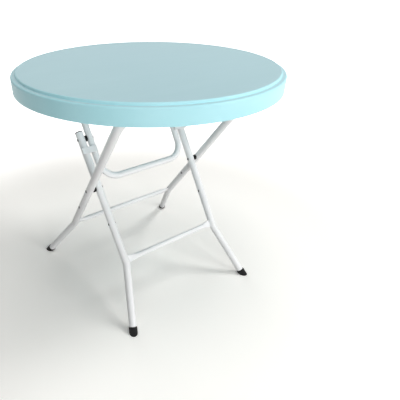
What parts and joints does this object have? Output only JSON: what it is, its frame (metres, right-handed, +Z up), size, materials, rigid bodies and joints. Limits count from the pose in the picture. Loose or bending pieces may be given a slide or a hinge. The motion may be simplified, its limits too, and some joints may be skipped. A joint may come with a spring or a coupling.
{
  "type": "folding bistro table",
  "caption": "Round moulded tabletop on two crossing tube frames with a folding link; the frames fold flat under the top.",
  "frame": {"origin": "on the floor under the middle of the round tabletop, with the table standing open", "axes": "+Z up, X along the hinge axes and the stretchers, +Y towards the feet of the wide outer frame"},
  "size_m": [0.7799, 0.78, 0.74],
  "materials": {
    "top_plastic": "light turquoise moulded plastic with faint streaks, satin",
    "white_steel": "white powder coat on steel tube",
    "black_plastic": "black moulded plastic",
    "zinc": "zinc-plated steel"
  },
  "bodies": {
    "outer_frame": {"outer_bow": "white_steel", "outer_left_lower_leg": "white_steel", "outer_right_lower_leg": "white_steel", "outer_stretcher": "white_steel", "outer_left_foot": "black_plastic", "outer_right_foot": "black_plastic", "outer_joint_rivets": "zinc", "frame_pivot_rivets": "zinc", "frame_pivot_washers": "black_plastic"},
    "top": {"tabletop": "top_plastic", "rail_clamps": "zinc", "clamp_screws": "zinc", "link_brackets": "zinc", "bracket_screws": "zinc", "link_hinge_pins": "zinc"},
    "inner_frame": {"inner_left_upper_leg": "white_steel", "inner_right_upper_leg": "white_steel", "inner_left_lower_leg": "white_steel", "inner_right_lower_leg": "white_steel", "inner_stretcher": "white_steel", "inner_left_foot": "black_plastic", "inner_right_foot": "black_plastic", "inner_joint_rivets": "zinc", "inner_leg_plugs": "black_plastic", "link_pivot_rivets": "zinc", "link_pivot_washers": "black_plastic"},
    "link": {"link_bow": "white_steel", "link_rivet_tails": "zinc", "stop_brackets": "white_steel"}
  },
  "joints": [
    {"name": "top_fold", "type": "hinge", "parent": "outer_frame", "child": "top", "pos_m": [0, -0.24062, 0.713], "axis": [-1, 0, 0], "range_deg": [0, 43.77]},
    {"name": "frame_cross", "type": "hinge", "parent": "outer_frame", "child": "inner_frame", "pos_m": [0, 0, 0.396], "axis": [1, 0, 0], "range_deg": [0, 67.5]},
    {"name": "link_fold", "type": "hinge", "parent": "top", "child": "link", "pos_m": [0, 0.222, 0.713], "axis": [-1, 0, 0], "range_deg": [0, 49.24]}
  ],
  "couplings": [
    {"joint": "frame_cross", "follows": "top_fold", "ratio": 1.542},
    {"joint": "link_fold", "follows": "top_fold", "ratio": 1.1249}
  ]
}
